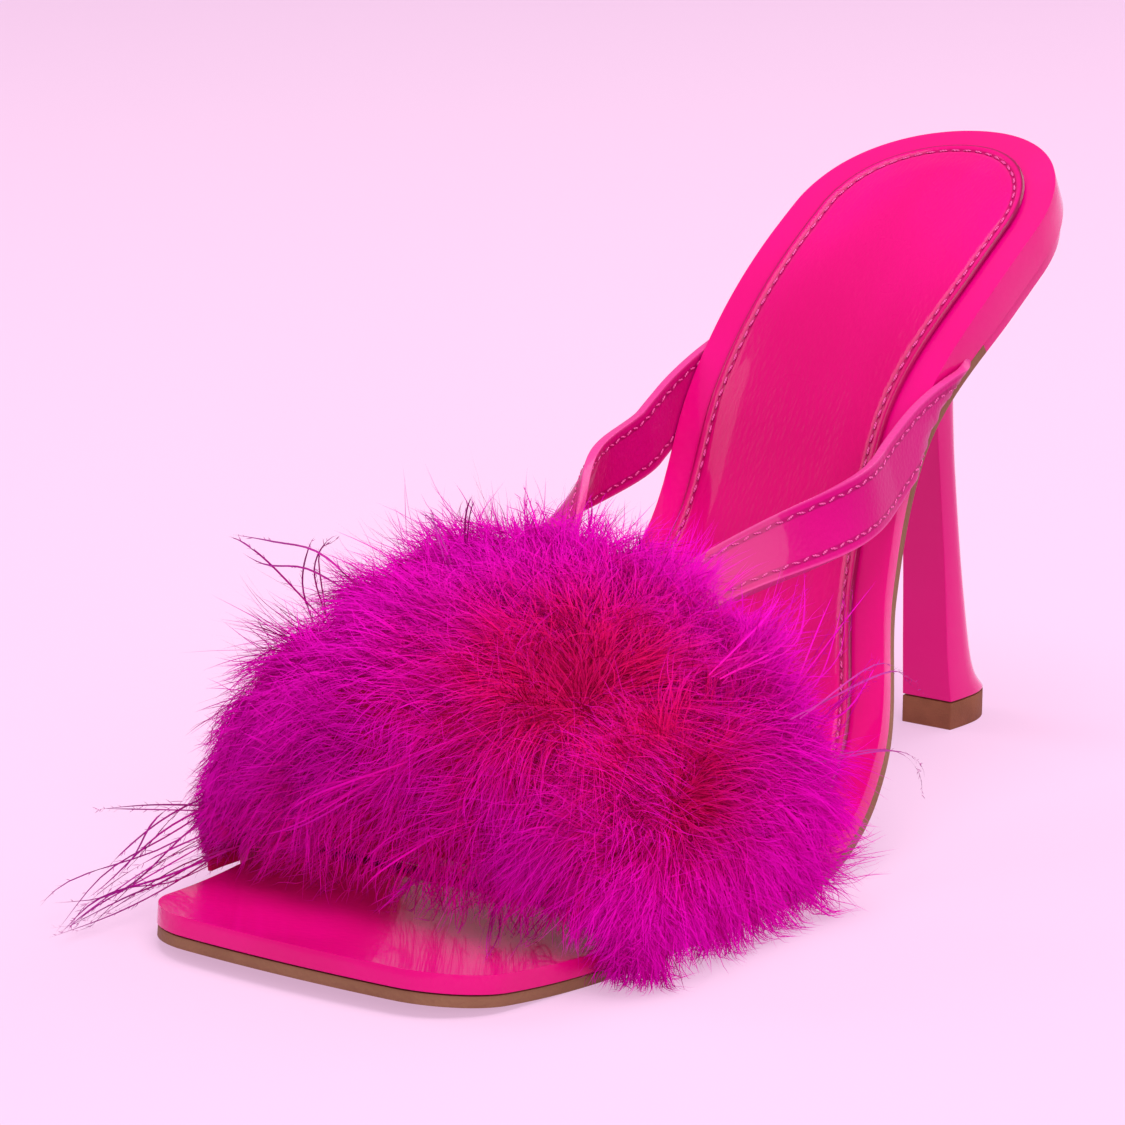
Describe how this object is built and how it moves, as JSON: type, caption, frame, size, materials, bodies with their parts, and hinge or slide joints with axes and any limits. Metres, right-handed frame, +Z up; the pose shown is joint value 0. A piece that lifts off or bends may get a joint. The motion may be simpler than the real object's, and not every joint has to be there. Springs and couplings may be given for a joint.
{
  "type": "marabou slipper",
  "caption": "High-heeled pink mule with an open square toe, a feather trim over the vamp band, instep straps and a slim flared heel. Left shoe.",
  "frame": {"origin": "on the floor, under the middle of the outsole's flat tread", "axes": "+Z up from the floor, -Y towards the toe, +Y towards the heel, +X towards the outer side of this left shoe"},
  "size_m": [0.1191, 0.2095, 0.1065],
  "materials": {
    "patent_wrap": "glossy pink patent",
    "sock": "smooth satin pink lining",
    "strap": "satin pink, stitched along both edges",
    "heel_cover": "glossy pink patent",
    "sole_leather": "matt tan",
    "wear_piece": "matt tan",
    "feathers": "soft dyed down and barbs"
  },
  "bodies": {
    "root": {"outsole": "sole_leather", "footbed": "patent_wrap", "insole": "sock", "heel": "heel_cover", "heel_top_piece": "wear_piece", "upper": "strap", "feather_trim": "feathers"}
  },
  "joints": []
}
